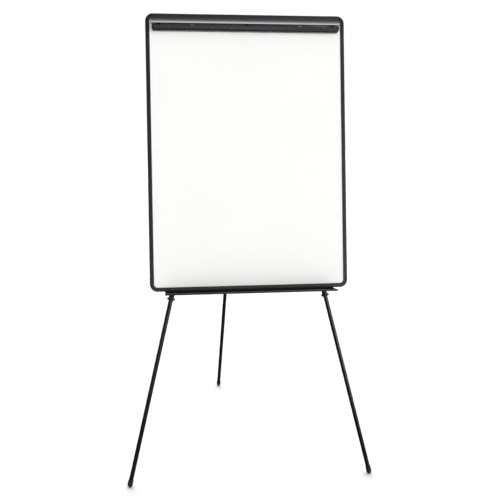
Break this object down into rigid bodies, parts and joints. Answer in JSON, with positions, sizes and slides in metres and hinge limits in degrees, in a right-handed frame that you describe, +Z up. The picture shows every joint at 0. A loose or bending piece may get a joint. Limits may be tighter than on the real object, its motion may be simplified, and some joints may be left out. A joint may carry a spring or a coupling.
{
  "type": "flipchart easel",
  "caption": "Tripod easel holding a framed dry-erase board, with a sprung pad clamp along its top edge, a marker tray below it and telescopic legs with twist locks.",
  "frame": {"origin": "on the floor, at the centre of the box round the standing easel", "axes": "+Z up, +X to the right as the writer faces the board, +Y away from the writer; the board faces -Y"},
  "size_m": [0.926, 1.0418, 1.7129],
  "materials": {
    "writing_surface": "satin",
    "core": "matte",
    "back_liner": "matte",
    "frame_rail": "satin",
    "frame_corner": "gloss",
    "clamp_header": "gloss",
    "clamp_bar": "satin",
    "grip_rubber": "matte",
    "spring_steel": "satin",
    "screw_steel": "satin",
    "tray": "satin",
    "head_plate": "satin",
    "head_plastic": "satin",
    "tube_upper": "satin",
    "tube_lower": "satin",
    "lock_plastic": "satin",
    "nylon": "satin",
    "foot_rubber": "matte"
  },
  "bodies": {
    "board": {"board_surface": "writing_surface", "board_core": "core", "board_back_sheet": "back_liner", "frame_rail_left": "frame_rail", "frame_rail_right": "frame_rail", "frame_rail_top": "frame_rail", "frame_rail_bottom": "frame_rail", "frame_corner_top_left": "frame_corner", "frame_corner_top_right": "frame_corner", "frame_corner_bottom_left": "frame_corner", "frame_corner_bottom_right": "frame_corner", "clamp_header": "clamp_header", "clamp_header_screws": "screw_steel", "clamp_hinge_pin": "spring_steel", "clamp_spring_left": "spring_steel", "clamp_spring_right": "spring_steel", "marker_tray": "tray", "tray_end_cap_left": "tray", "tray_end_cap_right": "tray", "tray_screws": "screw_steel", "head_plate": "head_plate", "head_block": "head_plastic", "head_plate_screws": "screw_steel", "head_block_screws": "screw_steel", "pivot_pin_left": "screw_steel", "pivot_pin_right": "screw_steel", "pivot_pin_rear": "screw_steel", "leg_clip_left": "head_plastic", "leg_clip_right": "head_plastic", "leg_clip_screws": "screw_steel"},
    "clamp": {"clamp_bar": "clamp_bar", "clamp_grip_strip": "grip_rubber", "clamp_end_cap_left": "clamp_bar", "clamp_end_cap_right": "clamp_bar"},
    "leg_upper_left": {"upper_tube_left": "tube_upper", "tube_knuckle_left": "lock_plastic", "tube_bush_left": "nylon"},
    "leg_nut_left": {"lock_nut_left": "lock_plastic"},
    "leg_lower_left": {"lower_tube_left": "tube_lower", "tube_glide_left": "nylon", "foot_left": "foot_rubber"},
    "leg_upper_right": {"upper_tube_right": "tube_upper", "tube_knuckle_right": "lock_plastic", "tube_bush_right": "nylon"},
    "leg_nut_right": {"lock_nut_right": "lock_plastic"},
    "leg_lower_right": {"lower_tube_right": "tube_lower", "tube_glide_right": "nylon", "foot_right": "foot_rubber"},
    "leg_upper_rear": {"upper_tube_rear": "tube_upper", "tube_knuckle_rear": "lock_plastic", "tube_bush_rear": "nylon"},
    "leg_nut_rear": {"lock_nut_rear": "lock_plastic"},
    "leg_lower_rear": {"lower_tube_rear": "tube_lower", "tube_glide_rear": "nylon", "foot_rear": "foot_rubber"}
  },
  "joints": [
    {"name": "clamp_hinge", "type": "hinge", "parent": "board", "child": "clamp", "pos_m": [0, -0.32272, 1.66905], "axis": [-1, 0, 0], "range_deg": [0, 75], "stiffness_Nm_per_rad": 0.25, "springref_deg": -34.38},
    {"name": "leg_splay_left", "type": "hinge", "parent": "board", "child": "leg_upper_left", "pos_m": [-0.052, -0.27797, 1.66701], "axis": [0, -0.9903, 0.1392], "range_deg": [0, 13.47]},
    {"name": "leg_splay_right", "type": "hinge", "parent": "board", "child": "leg_upper_right", "pos_m": [0.052, -0.27797, 1.66701], "axis": [0, 0.9903, -0.1392], "range_deg": [0, 13.47]},
    {"name": "leg_swing_rear", "type": "hinge", "parent": "board", "child": "leg_upper_rear", "pos_m": [0, -0.26609, 1.66534], "axis": [-1, 0, 0], "range_deg": [0, 33.14]},
    {"name": "leg_extend_left", "type": "slide", "parent": "leg_upper_left", "child": "leg_lower_left", "axis": [-0.233, -0.1353, -0.963], "range_m": [-0.67, 0.12]},
    {"name": "lock_twist_left", "type": "hinge", "parent": "leg_upper_left", "child": "leg_nut_left", "pos_m": [-0.052, -0.27797, 1.66701], "axis": [-0.233, -0.1353, -0.963], "range_deg": [0, 120]},
    {"name": "leg_extend_right", "type": "slide", "parent": "leg_upper_right", "child": "leg_lower_right", "axis": [0.233, -0.1353, -0.963], "range_m": [-0.67, 0.12]},
    {"name": "lock_twist_right", "type": "hinge", "parent": "leg_upper_right", "child": "leg_nut_right", "pos_m": [0.052, -0.27797, 1.66701], "axis": [0.233, -0.1353, -0.963], "range_deg": [0, 120]},
    {"name": "leg_extend_rear", "type": "slide", "parent": "leg_upper_rear", "child": "leg_lower_rear", "axis": [0, 0.4248, -0.9053], "range_m": [-0.78, 0.08]},
    {"name": "lock_twist_rear", "type": "hinge", "parent": "leg_upper_rear", "child": "leg_nut_rear", "pos_m": [0, -0.26609, 1.66534], "axis": [0, 0.4248, -0.9053], "range_deg": [0, 120]}
  ]
}
